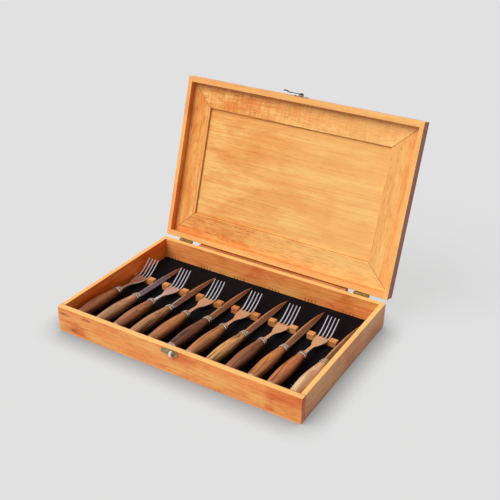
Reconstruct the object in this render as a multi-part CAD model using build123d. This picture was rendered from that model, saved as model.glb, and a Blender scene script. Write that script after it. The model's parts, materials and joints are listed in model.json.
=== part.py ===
"""Silverware chest: a shallow wooden presentation box with a hinged lid that holds six forks and six knives.

Millimetres. +X runs along the chest, +Y from front to back, +Z up. The origin is the centre of the chest's
underside. The lid is modelled closed and then turned open about the hinge pins, and each fork and knife is
modelled along +Y from its butt and then laid in its place.
"""

from build123d import *
import math
import os

# How each piece lies in its place: mm across, mm along, and degrees that its point turns towards +X.
LIES = (
    (-0.3, 0.0, 0.0),
    (-0.9, 0.0, -1.0),
    (-1.4, 0.5, -0.9),
    (-2.1, 0.0, -0.2),
    (-1.9, 0.0, 0.0),
    (-0.8, 4.0, -0.3),
    (0.0, 1.0, 0.6),
    (0.7, 0.0, 0.7),
    (1.8, -0.5, 1.4),
    (0.4, 1.0, 0.0),
    (0.5, 0.5, 1.2),
    (0.0, 0.0, 0.3),
)

# Cutlery: lengths run along the piece, from the outer end of its butt cap.
PAIRS = 6
PLACE_PITCH = 35.3
REST_GAP = 0.3
CAP_LENGTH = 5.5
CAP_RADIUS = 8.2
CAP_DOME = 2.2
KNIFE_HANDLE_LENGTH = 96.0
FORK_HANDLE_LENGTH = 93.0
HANDLE_BUTT_RADIUS = 8.0
HANDLE_SWELL_RADIUS = 10.7
HANDLE_NECK_RADIUS = 6.9
HANDLE_FLATNESS = 0.93
TANG_RADIUS = 2.2
TANG_DEPTH = 38.0
TANG_CLEARANCE = 0.1
BEAD_LENGTHS = (5.0, 3.8)
BEAD_RADII = (7.8, 7.1)
BEAD_ROOT_RADIUS = 6.2
COLLAR_LENGTH = 4.2
COLLAR_RADIUS = 4.9

BLADE_LENGTH = 137.0
BLADE_WIDTH = 14.4
SPINE_THICKNESS = 2.2
EDGE_THICKNESS = 0.5
TIP_THICKNESS = 1.0

SHANK_WIDTH = 6.8
SHANK_THICKNESS = 3.0
SHANK_LENGTH = 28.0
PALM_LENGTH = 34.0
HEAD_WIDTH = 22.0
HEAD_THICKNESS = 1.9
TINE_COUNT = 4
TINE_LENGTH = 33.0
TINE_ROOT_WIDTH = 3.0
TINE_TIP_WIDTH = 1.9
BOWL_DROP = 4.2
BOWL_SHARE = 0.88
TINE_RISE = 22.0

# Chest: walls and floor.
SIDE_WALL = 7.8
END_WALL = 9.4
SIDE_MARGIN = 0.4
FRONT_SPACE = 5.6
BACK_SPACE = 15.8
CAVITY_HEIGHT = 36.5
BOTTOM_THICKNESS = 3.5
BOTTOM_INSET = 0.6
LINING_THICKNESS = 5.0
LINING_CLEARANCE = 0.2
CORNER_ROUND = 1.4
EDGE_ROUND = 0.8
BUTT_AXIS_HEIGHT = 17.9

# Divider comb and handle rack.
COMB_FROM_BUTT = 167.2
COMB_THICKNESS = 9.8
COMB_RISE = 9.5
COMB_WEB = 3.0
FORK_SILL_RISE = 4.7
KNIFE_SLOT = 19.6
TOOTH_WIDTH = 12.0
TOOTH_CHAMFER = 0.6
RACK_FROM_BUTT = 15.0
RACK_THICKNESS = 9.0
RACK_BELOW_AXIS = 4.5

# Lid.
LID_HEIGHT = 21.5
RIM_GAP = 1.0
LID_OPEN_ANGLE = 106.3
PANEL_RECESS = 13.8
PANEL_CLEARANCE = 0.15
MOULDING_WIDTH = 40.0
MOULDING_INNER_THICKNESS = 3.8
MOULDING_OUTER_THICKNESS = 1.6
MOULDING_ROUND = 0.8
MITRE_GAP = 0.25

# Hinges and the batten that stops the lid.
HINGE_LENGTH = 26.0
HINGE_FROM_MIDDLE = 175.0
HINGE_LEAF_HEIGHT = 13.0
HINGE_LEAF_THICKNESS = 1.0
KNUCKLE_COUNT = 5
KNUCKLE_RADIUS = 2.7
KNUCKLE_GAP = 0.2
PIN_RADIUS = 1.1
PIN_CLEARANCE = 0.05
PIN_HEAD_LENGTH = 1.0
SWING_CLEARANCE = 0.3
BATTEN_FROM_HINGES = 15.5
BATTEN_DEPTH = 14.0
BATTEN_HEIGHT = 12.0
BATTEN_CHAMFER = 1.5

# Latch: a swing hook on the lid and a staple on the front wall.
LATCH_FROM_MIDDLE = -1.2
LATCH_PLATE_LENGTH = 28.0
LATCH_PLATE_WIDTH = 9.0
LATCH_PLATE_THICKNESS = 0.8
LATCH_ABOVE_RIM = 10.3
LATCH_BOSS_RADIUS = 4.2
LATCH_BOSS_HEIGHT = 3.0
RIVET_RADIUS = 1.5
RIVET_HEAD_RADIUS = 3.1
RIVET_HEAD_HEIGHT = 1.4
RIVET_DEPTH = 4.0
HOOK_THICKNESS = 1.2
HOOK_EYE_RADIUS = 4.0
HOOK_WIDTH = 4.6
HOOK_LENGTH = 33.0
HOOK_TAB_LENGTH = 12.0
HOOK_TAB_RISE = 2.6
HOOK_TAB_CREST = 0.2
HOOK_TAB_CURL = 0.9
HOOK_TAB_FLARE = 0.7
HOOK_PLAY = 0.15
CLAW_RADIUS = 18.0
CLAW_WIDTH = 3.0
CLAW_ANGLE = 28.0
STAPLE_WIDTH = 4.0
STAPLE_SIDE_CLEARANCE = 0.5
STAPLE_OPENING = 6.4
STAPLE_STRAP = 1.3
STAPLE_HEADROOM = 0.45
KEEPER_LENGTH = 31.0
KEEPER_WIDTH = 9.6

# Fasteners.
SCREW_HEAD_RADIUS = 1.9
SCREW_HEAD_HEIGHT = 0.8
SCREW_RADIUS = 1.1
SCREW_DEPTH = 7.0
NAIL_HEAD_RADIUS = 1.5
NAIL_HEAD_HEIGHT = 0.8
NAIL_RADIUS = 0.6
NAIL_DEPTH = 6.0
FASTENER_CLEARANCE = 0.05
NAIL_FROM_END = 3.4
SCREW_SPREAD = 8.6
SCREW_FROM_PIN = 6.4
MIDDLE_SCREW_FROM_PIN = 10.2

# How far a cutting shape starts outside the piece that it cuts.
OVERSHOOT = 1.0

# Worked out from the values above.
FERRULE_LENGTH = sum(BEAD_LENGTHS) + COLLAR_LENGTH
KNIFE_LENGTH = CAP_LENGTH + KNIFE_HANDLE_LENGTH + FERRULE_LENGTH + BLADE_LENGTH
FLOOR_Z = BOTTOM_THICKNESS + LINING_THICKNESS
BASE_HEIGHT = FLOOR_Z + CAVITY_HEIGHT
BUTT_Z = FLOOR_Z + BUTT_AXIS_HEIGHT


def resting_tilt(reach, drop, support_z):
    """Degrees that a piece dips from its butt, so that its point at this reach and drop meets its support."""
    fall = BUTT_Z - support_z - REST_GAP
    return math.degrees(math.asin(fall / math.hypot(reach, drop)) - math.atan2(drop, reach))


KNIFE_TILT = resting_tilt(KNIFE_LENGTH, TIP_THICKNESS / 2, FLOOR_Z)
FORK_REACH = CAP_LENGTH + FORK_HANDLE_LENGTH + FERRULE_LENGTH + SHANK_LENGTH + BOWL_SHARE * PALM_LENGTH
FORK_TILT = resting_tilt(FORK_REACH, BOWL_DROP + HEAD_THICKNESS / 2, FLOOR_Z + FORK_SILL_RISE)
INNER_LENGTH = 2 * PAIRS * PLACE_PITCH + 2 * SIDE_MARGIN
INNER_DEPTH = FRONT_SPACE + KNIFE_LENGTH * math.cos(math.radians(KNIFE_TILT)) + BACK_SPACE
INNER_X = INNER_LENGTH / 2
INNER_Y = INNER_DEPTH / 2
OUTER_X = INNER_X + SIDE_WALL
OUTER_Y = INNER_Y + END_WALL
BUTT_Y = -INNER_Y + FRONT_SPACE
PLACES = [(i - (2 * PAIRS - 1) / 2) * PLACE_PITCH for i in range(2 * PAIRS)]
LID_RIM_Z = BASE_HEIGHT + RIM_GAP
LID_TOP_Z = LID_RIM_Z + LID_HEIGHT
PANEL_Z = LID_RIM_Z + PANEL_RECESS
PIN_OFFSET = KNUCKLE_RADIUS + SWING_CLEARANCE
PIN_Y = OUTER_Y + PIN_OFFSET
PIN_Z = BASE_HEIGHT + RIM_GAP / 2
LATCH_Z = LID_RIM_Z + LATCH_ABOVE_RIM
HOOK_STAND_OFF = LATCH_PLATE_THICKNESS + LATCH_BOSS_HEIGHT + HOOK_PLAY
STAPLE_X = HOOK_WIDTH / 2 + STAPLE_SIDE_CLEARANCE + STAPLE_WIDTH / 2
STAPLE_Z = LATCH_Z - math.sqrt(CLAW_RADIUS**2 - STAPLE_X**2)


def block(x, y, z):
    """A block between its (low, high) limits along each axis."""
    spans = (x, y, z)
    centre = [(low + high) / 2 for low, high in spans]
    return Pos(*centre) * Box(*[high - low for low, high in spans])


def rod(radius, start, end):
    """A round bar along Y."""
    return Pos(0, (start + end) / 2, 0) * Rot(90, 0, 0) * Cylinder(radius, end - start)


def stadium_plate(length, width, thickness):
    """A plate with round ends, long in X and tall in Z, standing from y=0 out to y=-thickness."""
    face = Plane.XZ * SlotOverall(length, width)
    return extrude(face, thickness)


# ---------------------------------------------------------------------------- walls


def wall_ring(low, high):
    """The four walls of the base or lid in one piece, with every outer edge rounded."""
    outer = block((-OUTER_X, OUTER_X), (-OUTER_Y, OUTER_Y), (low, high))
    outer = fillet(outer.edges().filter_by(Axis.Z), CORNER_ROUND)
    outer = fillet(outer.faces().filter_by(Axis.Z).edges(), EDGE_ROUND)
    return outer - block((-INNER_X, INNER_X), (-INNER_Y, INNER_Y), (low, high))


def butt_jointed(low, high):
    """The ring cut into boards: the front board is full width, and the back one fits between the sides."""
    ring = wall_ring(low, high)
    z = (low, high)
    front = ring & block((-OUTER_X, OUTER_X), (-OUTER_Y, -INNER_Y), z)
    back = ring & block((-INNER_X, INNER_X), (INNER_Y, OUTER_Y), z)
    left = ring & block((-OUTER_X, -INNER_X), (-INNER_Y, OUTER_Y), z)
    right = ring & block((INNER_X, OUTER_X), (-INNER_Y, OUTER_Y), z)
    return front, back, left, right


def bottom_panel():
    """The thin board under the walls, set in a little all round."""
    x = OUTER_X - BOTTOM_INSET
    y = OUTER_Y - BOTTOM_INSET
    board = block((-x, x), (-y, y), (0, BOTTOM_THICKNESS))
    return fillet(board.edges().filter_by(Axis.Z), CORNER_ROUND)


# ---------------------------------------------------------------------------- comb, rack and lining

COMB_Y = BUTT_Y + COMB_FROM_BUTT
SILL_Z = FLOOR_Z + FORK_SILL_RISE
FORK_SLOT = 2 * (PLACE_PITCH - TOOTH_WIDTH) - KNIFE_SLOT


def comb_bar(x, top, grow):
    """A stretch of the comb from the bottom panel to a height, clipped by the side walls."""
    side = INNER_X - LINING_CLEARANCE + grow
    x = (max(x[0] - grow, -side), min(x[1] + grow, side))
    return block(x, (COMB_Y - grow, COMB_Y + COMB_THICKNESS + grow), (BOTTOM_THICKNESS, top))


def comb_blank(grow=0.0):
    """The web under the lining, a sill under each fork and the teeth between, grown by a clearance."""
    comb = comb_bar((-INNER_X, INNER_X), BOTTOM_THICKNESS + COMB_WEB + grow, grow)
    for i, place in enumerate(PLACES):
        half = (KNIFE_SLOT if i % 2 else FORK_SLOT) / 2
        comb += comb_bar((place - half - TOOTH_WIDTH, place - half), FLOOR_Z + COMB_RISE, grow)
        if i % 2 == 0:
            comb += comb_bar((place - half, place + half), SILL_Z, grow)
    last = PLACES[-1] + KNIFE_SLOT / 2
    return comb + comb_bar((last, last + TOOTH_WIDTH), FLOOR_Z + COMB_RISE, grow)


def divider_comb():
    """Teeth that stand through the lining, with their top edges eased."""
    comb = comb_blank()
    tops = comb.faces().filter_by(Axis.Z).group_by(Axis.Z)[-1]
    return chamfer(tops.edges(), TOOTH_CHAMFER)


def floor_lining():
    """The padded board on the bottom, pocketed for the comb's web and pierced for its teeth."""
    x = INNER_X - LINING_CLEARANCE
    y = INNER_Y - LINING_CLEARANCE
    return block((-x, x), (-y, y), (BOTTOM_THICKNESS, FLOOR_Z)) - comb_blank(LINING_CLEARANCE)


def handle_rack():
    """The bar that carries the handles, with a seat for each that follows its swell."""
    middle = BUTT_Y + RACK_FROM_BUTT
    axis_z = BUTT_Z - RACK_FROM_BUTT * math.sin(math.radians(KNIFE_TILT))
    x = INNER_X - LINING_CLEARANCE
    y = (middle - RACK_THICKNESS / 2, middle + RACK_THICKNESS / 2)
    bar = block((-x, x), y, (FLOOR_Z, axis_z - RACK_BELOW_AXIS))
    for i in range(len(PLACES)):
        length = KNIFE_HANDLE_LENGTH if i % 2 else FORK_HANDLE_LENGTH
        bar -= laid(handle_body(length, REST_GAP), i)
    return bar


# ---------------------------------------------------------------------------- cutlery


def laid(shape, i):
    """Part of the piece in place i, set down with its butt at the front and dipping towards the back."""
    across, along, yaw = LIES[i % len(LIES)]
    tilt = KNIFE_TILT if i % 2 else FORK_TILT
    at_comb = Pos(PLACES[i] + across, COMB_Y + along, BUTT_Z) * Rot(0, 0, -yaw)
    return at_comb * Pos(0, -COMB_FROM_BUTT, 0) * Rot(-tilt, 0, 0) * shape


def handle_body(length, grow=0.0):
    """A loft through ovals: round at both ends, widest and flattest a little behind the middle."""
    stations = (
        (0.0, HANDLE_BUTT_RADIUS, 1.0),
        (0.2, 0.45 * HANDLE_BUTT_RADIUS + 0.55 * HANDLE_SWELL_RADIUS, (1 + HANDLE_FLATNESS) / 2),
        (0.45, HANDLE_SWELL_RADIUS, HANDLE_FLATNESS),
        (0.72, 0.7 * HANDLE_SWELL_RADIUS + 0.3 * HANDLE_NECK_RADIUS, HANDLE_FLATNESS),
        (0.9, 0.25 * HANDLE_SWELL_RADIUS + 0.75 * HANDLE_NECK_RADIUS, (1 + HANDLE_FLATNESS) / 2),
        (1.0, HANDLE_NECK_RADIUS, 1.0),
    )
    ovals = []
    for share, radius, flatness in stations:
        plane = Plane(origin=(0, CAP_LENGTH + share * length, 0), x_dir=(1, 0, 0), z_dir=(0, 1, 0))
        ovals.append(plane * Ellipse(radius + grow, radius * flatness + grow))
    return loft(ovals)


def handle(length):
    """The wooden grip, bored from the neck for the tang."""
    neck = CAP_LENGTH + length
    return handle_body(length) - rod(TANG_RADIUS + TANG_CLEARANCE, neck - TANG_DEPTH - TANG_CLEARANCE, neck)


def butt_cap():
    """A turned cap with a low dome on its outer end."""
    dome = ThreePointArc((0, 0), (0.62 * CAP_RADIUS, 0.28 * CAP_DOME), (CAP_RADIUS, CAP_DOME))
    sides = Polyline((CAP_RADIUS, CAP_DOME), (CAP_RADIUS, CAP_LENGTH), (0, CAP_LENGTH), (0, 0))
    return revolve(make_face(dome + sides), Axis.Y)


def ferrule(start):
    """Two turned beads and a narrower collar, bored for the tang."""
    bore = TANG_RADIUS + TANG_CLEARANCE
    first = start + BEAD_LENGTHS[0]
    second = first + BEAD_LENGTHS[1]
    end = second + COLLAR_LENGTH
    root = BEAD_ROOT_RADIUS
    beads = ThreePointArc((root, start), (BEAD_RADII[0], (start + first) / 2), (root, first))
    beads += ThreePointArc((root, first), (BEAD_RADII[1], (first + second) / 2), (root, second))
    rest = Polyline(
        (BEAD_ROOT_RADIUS, second),
        (COLLAR_RADIUS, second),
        (COLLAR_RADIUS, end - COLLAR_LENGTH / 4),
        (COLLAR_RADIUS - COLLAR_LENGTH / 4, end),
        (bore, end),
        (bore, start),
        (BEAD_ROOT_RADIUS, start),
    )
    return revolve(make_face(beads + rest), Axis.Y)


def knife_blade():
    """A pointed blade, ground thinner from spine to edge and from heel to tip, with its tang."""
    heel = CAP_LENGTH + KNIFE_HANDLE_LENGTH + FERRULE_LENGTH
    tip = heel + BLADE_LENGTH
    half = BLADE_WIDTH / 2
    point = (0.14 * half, tip)
    edge = Spline(
        (-0.84 * half, heel),
        (-half, heel + 0.4 * BLADE_LENGTH),
        (-0.84 * half, heel + 0.7 * BLADE_LENGTH),
        (-0.4 * half, heel + 0.9 * BLADE_LENGTH),
        point,
    )
    spine = Spline(
        (0.86 * half, heel),
        (0.82 * half, heel + 0.5 * BLADE_LENGTH),
        (0.6 * half, heel + 0.8 * BLADE_LENGTH),
        point,
    )
    outline = make_face(edge + spine + Line((-0.84 * half, heel), (0.86 * half, heel)))
    ends = []
    side = half + OVERSHOOT
    for y, thickness in ((heel, SPINE_THICKNESS), (tip, TIP_THICKNESS)):
        thin = EDGE_THICKNESS * thickness / SPINE_THICKNESS
        section = Polygon(
            (side, thickness / 2), (-side, thin / 2), (-side, -thin / 2), (side, -thickness / 2),
            align=None,
        )
        ends.append(Plane(origin=(0, y, 0), x_dir=(1, 0, 0), z_dir=(0, -1, 0)) * section)
    wedge = loft(ends, ruled=True)
    blade = extrude(outline, SPINE_THICKNESS, both=True) & wedge
    return blade + tang(heel)


def tang(shoulder):
    """The round tang, from inside the handle to a little way into the steel in front of the ferrule."""
    return rod(TANG_RADIUS, shoulder - FERRULE_LENGTH - TANG_DEPTH, shoulder)


def fork_line(root, thickness_sign):
    """Points of the fork's upper or lower line in side view, from shank to tine tips."""
    palm = root + SHANK_LENGTH
    tine = palm + PALM_LENGTH
    tip = tine + TINE_LENGTH
    middle = (
        (root, 0.0, SHANK_THICKNESS),
        (root + 0.5 * SHANK_LENGTH, -0.14 * BOWL_DROP, SHANK_THICKNESS),
        (palm, -0.5 * BOWL_DROP, 0.5 * (SHANK_THICKNESS + HEAD_THICKNESS)),
        (palm + 0.5 * PALM_LENGTH, -0.88 * BOWL_DROP, HEAD_THICKNESS),
        (palm + BOWL_SHARE * PALM_LENGTH, -BOWL_DROP, HEAD_THICKNESS),
        (tine + 0.12 * TINE_LENGTH, -0.82 * BOWL_DROP, HEAD_THICKNESS),
        (tine + 0.55 * TINE_LENGTH, 0.42 * TINE_RISE - BOWL_DROP, HEAD_THICKNESS),
        (tip, TINE_RISE - BOWL_DROP, 0.7 * HEAD_THICKNESS),
    )
    return [(y, z + thickness_sign * thickness / 2) for y, z, thickness in middle]


def fork_outline(root):
    """The fork seen from above: shank, shoulders and tapered tines between round-rooted slots."""
    palm = root + SHANK_LENGTH
    tine = palm + PALM_LENGTH
    tip = tine + TINE_LENGTH
    half = HEAD_WIDTH / 2
    tip_half = half - (TINE_ROOT_WIDTH - TINE_TIP_WIDTH) / 2
    side = [
        (0.5 * SHANK_WIDTH, root),
        (0.42 * SHANK_WIDTH, root + 0.5 * SHANK_LENGTH),
        (0.5 * SHANK_WIDTH, palm - 0.1 * SHANK_LENGTH),
        (0.74 * half, palm + 0.32 * PALM_LENGTH),
        (0.97 * half, palm + 0.68 * PALM_LENGTH),
        (half, tine),
    ]
    right = Spline(*side) + Line(side[-1], (tip_half, tip))
    left = Spline(*[(-x, y) for x, y in side]) + Line((-half, tine), (-tip_half, tip))
    ends = Line((-tip_half, tip), (tip_half, tip)) + Line((-side[0][0], root), side[0])
    outline = make_face(right + left + ends)
    pitch = (HEAD_WIDTH - TINE_ROOT_WIDTH) / (TINE_COUNT - 1)
    root_half = (pitch - TINE_ROOT_WIDTH) / 2
    mouth_half = (pitch - TINE_TIP_WIDTH) / 2
    for i in range(TINE_COUNT - 1):
        middle = (i - (TINE_COUNT - 2) / 2) * pitch
        mouth = [
            (middle - root_half, tine),
            (middle + root_half, tine),
            (middle + mouth_half, tip),
            (middle - mouth_half, tip),
        ]
        outline -= make_face(Polyline(*mouth, close=True))
        outline -= Pos(middle, tine) * Circle(root_half)
    corners = outline.vertices().group_by(Axis.Y)[-1]
    return fillet(corners, 0.45 * TINE_TIP_WIDTH)


def fork_head():
    """Shank, palm and tines: the outline seen from above, kept where it meets the curved side profile."""
    root = CAP_LENGTH + FORK_HANDLE_LENGTH + FERRULE_LENGTH
    upper = fork_line(root, 1)
    lower = fork_line(root, -1)
    side = Spline(*upper) + Line(upper[-1], lower[-1]) + Spline(*lower) + Line(lower[0], upper[0])
    sheet = extrude(Plane.YZ * make_face(side), HEAD_WIDTH, both=True)
    plan = extrude(fork_outline(root), TINE_RISE + BOWL_DROP, both=True)
    return (sheet & plan) + tang(root)


def cutlery():
    """Every fork and knife, laid in turn from the left, as its steel, its handle and its pewter fittings."""
    kinds = (
        ("fork", "head", fork_head(), FORK_HANDLE_LENGTH),
        ("knife", "blade", knife_blade(), KNIFE_HANDLE_LENGTH),
    )
    cap = butt_cap()
    handles = [handle(length) for _, _, _, length in kinds]
    ferrules = [ferrule(CAP_LENGTH + length) for _, _, _, length in kinds]
    nodes = {}
    for i in range(len(PLACES)):
        kind, steel_name, steel, _ = kinds[i % 2]
        name = f"{kind}_{i // 2 + 1}"
        nodes[f"{name}_{steel_name}"] = laid(steel, i)
        nodes[f"{name}_handle"] = laid(handles[i % 2], i)
        nodes[f"{name}_fittings"] = [laid(cap, i), laid(ferrules[i % 2], i)]
    return nodes


# ---------------------------------------------------------------------------- lid


def opened(shape):
    """A lid piece turned from closed to open about the hinge pins."""
    return shape.rotate(Axis((0, PIN_Y, PIN_Z), (-1, 0, 0)), LID_OPEN_ANGLE)


def lid_panel():
    """The board that closes the lid, flush with its top edges."""
    x = INNER_X - PANEL_CLEARANCE
    y = INNER_Y - PANEL_CLEARANCE
    return block((-x, x), (-y, y), (PANEL_Z, LID_TOP_Z))


def moulding(run_half, across_half):
    """One mitred moulding under the panel, along X at -across_half, thicker on its inner edge."""
    run_half -= MITRE_GAP / math.sqrt(2)
    inner_y = -across_half + MOULDING_WIDTH
    section = Polyline(
        (-across_half, PANEL_Z),
        (-across_half, PANEL_Z - MOULDING_OUTER_THICKNESS),
        (inner_y, PANEL_Z - MOULDING_INNER_THICKNESS),
        (inner_y, PANEL_Z),
        close=True,
    )
    face = make_face(section)
    edge = face.vertices().group_by(Axis.X)[-1].sort_by(Axis.Y)[0]
    bar = extrude(Plane.YZ * fillet(edge, MOULDING_ROUND), run_half, both=True)
    mitre = Polyline(
        (-run_half, -across_half),
        (run_half, -across_half),
        (run_half - MOULDING_WIDTH, inner_y),
        (-run_half + MOULDING_WIDTH, inner_y),
        close=True,
    )
    return bar & extrude(make_face(mitre), LID_TOP_Z)


def lid_mouldings():
    """The long pair at front and back, and the short pair at the sides."""
    x = INNER_X - PANEL_CLEARANCE
    y = INNER_Y - PANEL_CLEARANCE
    long_one = moulding(x, y)
    short_one = moulding(y, x)
    long_pair = [long_one, Rot(0, 0, 180) * long_one]
    short_pair = [Rot(0, 0, turn) * short_one for turn in (90, -90)]
    return long_pair, short_pair


# ---------------------------------------------------------------------------- hinges


def knuckle_spans(own):
    """The (start, end) along X of the knuckles that belong to the base (own=0) or to the lid (own=1)."""
    step = HINGE_LENGTH / KNUCKLE_COUNT
    starts = [-HINGE_LENGTH / 2 + i * step for i in range(own, KNUCKLE_COUNT, 2)]
    return [(s + KNUCKLE_GAP / 2, s + step - KNUCKLE_GAP / 2) for s in starts]


def pin_bar(radius, span):
    """A round bar on the pin line."""
    middle = (span[0] + span[1]) / 2
    return Pos(middle, PIN_Y, PIN_Z) * Rot(0, 90, 0) * Cylinder(radius, span[1] - span[0])


def hinge_leaf(own):
    """A flat leaf on the back of the base (own=0) or lid (own=1), with its knuckles and screw holes."""
    up = 2 * own - 1
    edge = PIN_Z + up * RIM_GAP / 2
    far = PIN_Z + up * HINGE_LEAF_HEIGHT
    x = HINGE_LENGTH / 2
    leaf = block((-x, x), (OUTER_Y, OUTER_Y + HINGE_LEAF_THICKNESS), (min(edge, far), max(edge, far)))
    for start, end in knuckle_spans(1 - own):
        leaf -= pin_bar(KNUCKLE_RADIUS + SWING_CLEARANCE, (start - KNUCKLE_GAP, end + KNUCKLE_GAP))
    for span in knuckle_spans(own):
        leaf += pin_bar(KNUCKLE_RADIUS, span)
        middle = (span[0] + span[1]) / 2
        width = span[1] - span[0]
        bridge = (OUTER_Y, OUTER_Y + KNUCKLE_RADIUS)
        leaf += block((middle - width / 2, middle + width / 2), bridge, (min(edge, PIN_Z), max(edge, PIN_Z)))
    leaf -= pin_bar(PIN_RADIUS + PIN_CLEARANCE, (-x, x))
    bore = rod(SCREW_RADIUS + FASTENER_CLEARANCE, -OVERSHOOT, HINGE_LEAF_THICKNESS + OVERSHOOT)
    for x_screw, z_screw in screw_places(own):
        leaf -= Pos(x_screw, OUTER_Y, z_screw) * bore
    return leaf


def screw_places(own):
    """The (x, z) of one leaf's three screws."""
    up = 2 * own - 1
    sides = [(x, PIN_Z + up * SCREW_FROM_PIN) for x in (-SCREW_SPREAD, SCREW_SPREAD)]
    return sides + [(0, PIN_Z + up * MIDDLE_SCREW_FROM_PIN)]


def hinge_pin():
    """The pin, with a round head outside each end knuckle."""
    x = HINGE_LENGTH / 2
    pin = pin_bar(PIN_RADIUS, (-x - PIN_HEAD_LENGTH, x + PIN_HEAD_LENGTH))
    for side in (-1, 1):
        middle = side * (x + PIN_HEAD_LENGTH / 2)
        half = PIN_HEAD_LENGTH / 2
        pin += pin_bar(1.6 * PIN_RADIUS, (middle - half, middle + half))
    return pin


def at_both_hinges(shape):
    """Copies of a hinge piece at the left and right hinge."""
    return [Pos(side * HINGE_FROM_MIDDLE, 0, 0) * shape for side in (-1, 1)]


def stop_batten():
    """The bar behind the base whose upper outer edge meets the back of the open lid."""
    open_angle = math.radians(LID_OPEN_ANGLE)
    reach = BATTEN_DEPTH - PIN_OFFSET
    top = PIN_Z + (PIN_OFFSET - REST_GAP + math.cos(open_angle) * reach) / math.sin(open_angle)
    x = HINGE_FROM_MIDDLE - HINGE_LENGTH / 2 - BATTEN_FROM_HINGES
    bar = block((-x, x), (OUTER_Y, OUTER_Y + BATTEN_DEPTH), (top - BATTEN_HEIGHT, top))
    lower = bar.edges().filter_by(Axis.X).group_by(Axis.Z)[0].sort_by(Axis.Y)[-1]
    return chamfer(lower, BATTEN_CHAMFER)


# ---------------------------------------------------------------------------- latch and fasteners


def fastener(head_radius, head_height, radius, depth):
    """A domed fastener whose head sits on y=0 and stands towards -Y, with its shank along +Y."""
    dome = ThreePointArc((0, -head_height), (0.7 * head_radius, -0.72 * head_height), (head_radius, 0))
    rest = Polyline((head_radius, 0), (radius, 0), (radius, depth), (0, depth), (0, -head_height))
    return revolve(make_face(dome + rest), Axis.Y)


def screw():
    """A hinge screw, seated on its leaf."""
    return fastener(SCREW_HEAD_RADIUS, SCREW_HEAD_HEIGHT, SCREW_RADIUS, SCREW_DEPTH + HINGE_LEAF_THICKNESS)


def nail():
    """A plate nail, seated on its plate."""
    return fastener(NAIL_HEAD_RADIUS, NAIL_HEAD_HEIGHT, NAIL_RADIUS, NAIL_DEPTH + LATCH_PLATE_THICKNESS)


def hinge_screws(own):
    """All the screws of the base's (own=0) or the lid's (own=1) leaves."""
    face = OUTER_Y + HINGE_LEAF_THICKNESS
    screws = []
    for x, z in screw_places(own):
        screws += at_both_hinges(Pos(x, face, z) * Rot(0, 0, 180) * screw())
    return screws


def plate_nails(length, height):
    """The two nails of a front plate."""
    face = -OUTER_Y - LATCH_PLATE_THICKNESS
    reach = length / 2 - NAIL_FROM_END
    return [Pos(LATCH_FROM_MIDDLE + side * reach, face, height) * nail() for side in (-1, 1)]


def shank_hole(x, z, radius, depth, back):
    """The hole that a fastener's shank leaves in a front or back board."""
    bar = rod(radius + FASTENER_CLEARANCE, -OVERSHOOT, depth + FASTENER_CLEARANCE)
    if back:
        return Pos(x, OUTER_Y, z) * Rot(0, 0, 180) * bar
    return Pos(x, -OUTER_Y, z) * bar


def back_holes(own):
    """The screw holes in the back board of the base (own=0) or the lid (own=1)."""
    holes = []
    for x, z in screw_places(own):
        for side in (-1, 1):
            holes.append(shank_hole(x + side * HINGE_FROM_MIDDLE, z, SCREW_RADIUS, SCREW_DEPTH, True))
    return holes


def front_holes(length, height):
    """The nail holes in a front board behind a plate."""
    reach = length / 2 - NAIL_FROM_END
    places = [LATCH_FROM_MIDDLE + side * reach for side in (-1, 1)]
    return [shank_hole(x, height, NAIL_RADIUS, NAIL_DEPTH, False) for x in places]


def nail_bores(length):
    """Clearance holes through a plate that is modelled on y=0."""
    reach = length / 2 - NAIL_FROM_END
    bar = rod(NAIL_RADIUS + FASTENER_CLEARANCE, -LATCH_PLATE_THICKNESS - OVERSHOOT, OVERSHOOT)
    return [Pos(side * reach, 0, 0) * bar for side in (-1, 1)]


def latch_plate():
    """The lid's plate with the boss that carries the hook clear of it, bored for the rivet."""
    plate = stadium_plate(LATCH_PLATE_LENGTH, LATCH_PLATE_WIDTH, LATCH_PLATE_THICKNESS)
    boss_face = -LATCH_PLATE_THICKNESS - LATCH_BOSS_HEIGHT
    boss = rod(LATCH_BOSS_RADIUS, boss_face, 0)
    rim = boss.edges().group_by(Axis.Y)[0]
    plate += fillet(rim, LATCH_BOSS_HEIGHT / 4)
    plate -= rod(RIVET_RADIUS + PIN_CLEARANCE, boss_face - OVERSHOOT, OVERSHOOT)
    for bore in nail_bores(LATCH_PLATE_LENGTH):
        plate -= bore
    return Pos(LATCH_FROM_MIDDLE, -OUTER_Y, LATCH_Z) * plate


def latch_rivet():
    """The rivet that the hook turns on, from inside the rail to its domed head."""
    seat = -HOOK_STAND_OFF - HOOK_THICKNESS - HOOK_PLAY
    rivet = fastener(RIVET_HEAD_RADIUS, RIVET_HEAD_HEIGHT, RIVET_RADIUS, RIVET_DEPTH - seat)
    return Pos(LATCH_FROM_MIDDLE, -OUTER_Y + seat, LATCH_Z) * rivet


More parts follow.
